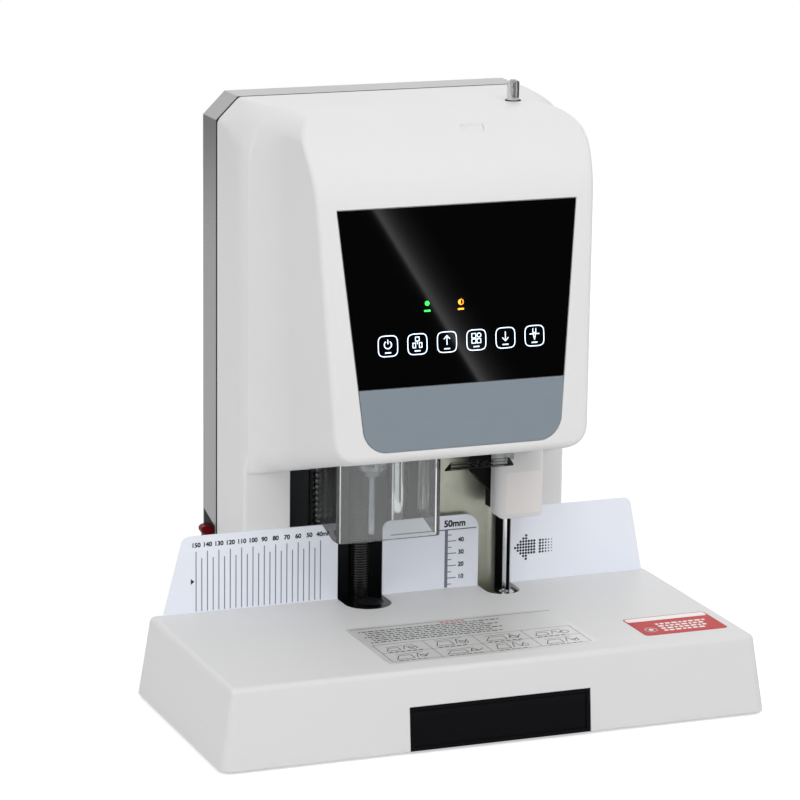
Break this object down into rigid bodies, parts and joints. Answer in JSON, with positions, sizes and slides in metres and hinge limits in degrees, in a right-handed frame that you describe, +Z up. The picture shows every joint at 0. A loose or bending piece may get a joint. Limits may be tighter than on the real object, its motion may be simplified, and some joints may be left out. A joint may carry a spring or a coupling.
{
  "type": "document binding machine",
  "caption": "Electric voucher binding machine with a hollow paper drill behind a clear guard, a hot rivet press and a scrap drawer.",
  "frame": {"origin": "middle of the footprint, on the desk under the rubber feet", "axes": "+X towards the user's right, +Y away from the user, +Z up"},
  "size_m": [0.474, 0.322, 0.505],
  "materials": {
    "cover_white": "satin moulded ABS",
    "cover_grey": "fine textured moulded ABS",
    "base_white": "satin moulded ABS",
    "fence_sheet": "gloss printed sheet",
    "glass_black": "gloss",
    "trim_grey": "satin",
    "circuit_board": "solder mask",
    "clear_sheet": "clear polycarbonate",
    "black_plastic": "satin",
    "black_gloss": "gloss",
    "rubber": "matte",
    "steel_frame": "powder coat",
    "zinc_steel": "zinc plated, passivated",
    "cast_aluminium": "machined",
    "chrome": "polished",
    "tool_steel": "ground",
    "motor_black": "enamel",
    "heater_brass": "turned",
    "belt_rubber": "matte",
    "supply_case": "folded sheet",
    "rocker_red": "gloss",
    "screw_zinc": "zinc plated"
  },
  "bodies": {
    "machine": {"base_plate": "zinc_steel", "rubber_feet": "rubber", "cover_posts": "zinc_steel", "base_cover": "base_white", "left_fence_plate": "fence_sheet", "middle_fence_plate": "fence_sheet", "right_fence_plate": "fence_sheet", "front_cover": "cover_white", "rear_cover": "cover_grey", "seam_gasket": "black_plastic", "panel_glass": "glass_black", "panel_trim": "trim_grey", "control_board": "circuit_board", "drill_guard": "clear_sheet", "guard_hanger": "steel_frame", "rivet_shield": "cover_white", "rivet_visor": "clear_sheet", "main_frame": "steel_frame", "press_frame": "zinc_steel", "slide_brackets": "steel_frame", "guide_rods": "chrome", "feed_motor": "motor_black", "scrap_hose": "black_plastic", "chip_chute": "black_plastic", "anvil_bridge": "steel_frame", "pad_block": "black_gloss", "drill_pad": "black_plastic", "lower_heater": "heater_brass", "lower_rivet_die": "chrome", "press_posts": "chrome", "press_brackets": "steel_frame", "press_motor": "motor_black", "press_belt": "belt_rubber", "power_supply": "supply_case", "wire_loom": "black_gloss", "switch_bezel": "black_gloss", "power_inlet": "black_plastic", "cover_screws": "screw_zinc"},
    "drill_unit": {"drill_carriage": "cast_aluminium", "spindle_bearings": "chrome", "spindle_motor": "motor_black", "chip_hood": "black_plastic", "drill_belt": "belt_rubber"},
    "drill_spindle": {"spindle": "tool_steel", "spindle_pulley": "cast_aluminium", "drill_chuck": "tool_steel", "drill_bit": "tool_steel"},
    "spindle_drive": {"motor_pulley": "cast_aluminium"},
    "drill_feed_screw": {"feed_screw": "tool_steel"},
    "press_head": {"press_slide": "cast_aluminium", "press_arm": "black_plastic", "upper_heater": "heater_brass", "upper_rivet_die": "tool_steel"},
    "press_feed_screw": {"press_screw": "tool_steel", "press_pulley": "cast_aluminium"},
    "press_drive": {"press_drive_pulley": "cast_aluminium"},
    "needle": {"guide_needle": "chrome", "needle_knob": "chrome"},
    "drawer": {"scrap_drawer": "black_gloss"},
    "rocker": {"power_rocker": "rocker_red"}
  },
  "joints": [
    {"name": "drill_feed", "type": "slide", "parent": "machine", "child": "drill_unit", "axis": [0, 0, -1], "range_m": [0, 0.0585]},
    {"name": "spindle_turn", "type": "hinge", "parent": "drill_unit", "child": "drill_spindle", "pos_m": [-0.037, 0.0395, 0.25], "axis": [0, 0, 1], "continuous": true},
    {"name": "spindle_drive_turn", "type": "hinge", "parent": "drill_unit", "child": "spindle_drive", "pos_m": [0.035, 0.035, 0.35], "axis": [0, 0, 1], "continuous": true},
    {"name": "feed_screw_turn", "type": "hinge", "parent": "machine", "child": "drill_feed_screw", "pos_m": [-0.037, 0.0907, 0.3], "axis": [0, 0, 1], "continuous": true},
    {"name": "press_feed", "type": "slide", "parent": "machine", "child": "press_head", "axis": [0, 0, -1], "range_m": [0, 0.0665]},
    {"name": "press_screw_turn", "type": "hinge", "parent": "machine", "child": "press_feed_screw", "pos_m": [0.085, 0.053, 0.3], "axis": [0, 0, 1], "continuous": true},
    {"name": "press_drive_turn", "type": "hinge", "parent": "machine", "child": "press_drive", "pos_m": [0.056, 0.087, 0.4], "axis": [0, 0, 1], "continuous": true},
    {"name": "needle_lift", "type": "slide", "parent": "machine", "child": "needle", "axis": [0, 0, 1], "range_m": [0, 0.07]},
    {"name": "drawer_pull", "type": "slide", "parent": "machine", "child": "drawer", "axis": [0, -1, 0], "range_m": [0, 0.11]},
    {"name": "rocker_tilt", "type": "hinge", "parent": "machine", "child": "rocker", "pos_m": [-0.141, 0.145, 0.106], "axis": [0, -1, 0], "range_deg": [0, 14]}
  ],
  "couplings": [
    {"joint": "spindle_drive_turn", "follows": "spindle_turn", "ratio": 1.4444},
    {"joint": "feed_screw_turn", "follows": "drill_feed", "rad_per_m": 1256.6},
    {"joint": "press_screw_turn", "follows": "press_feed", "rad_per_m": 1570.8},
    {"joint": "press_drive_turn", "follows": "press_feed", "rad_per_m": 1570.8}
  ]
}
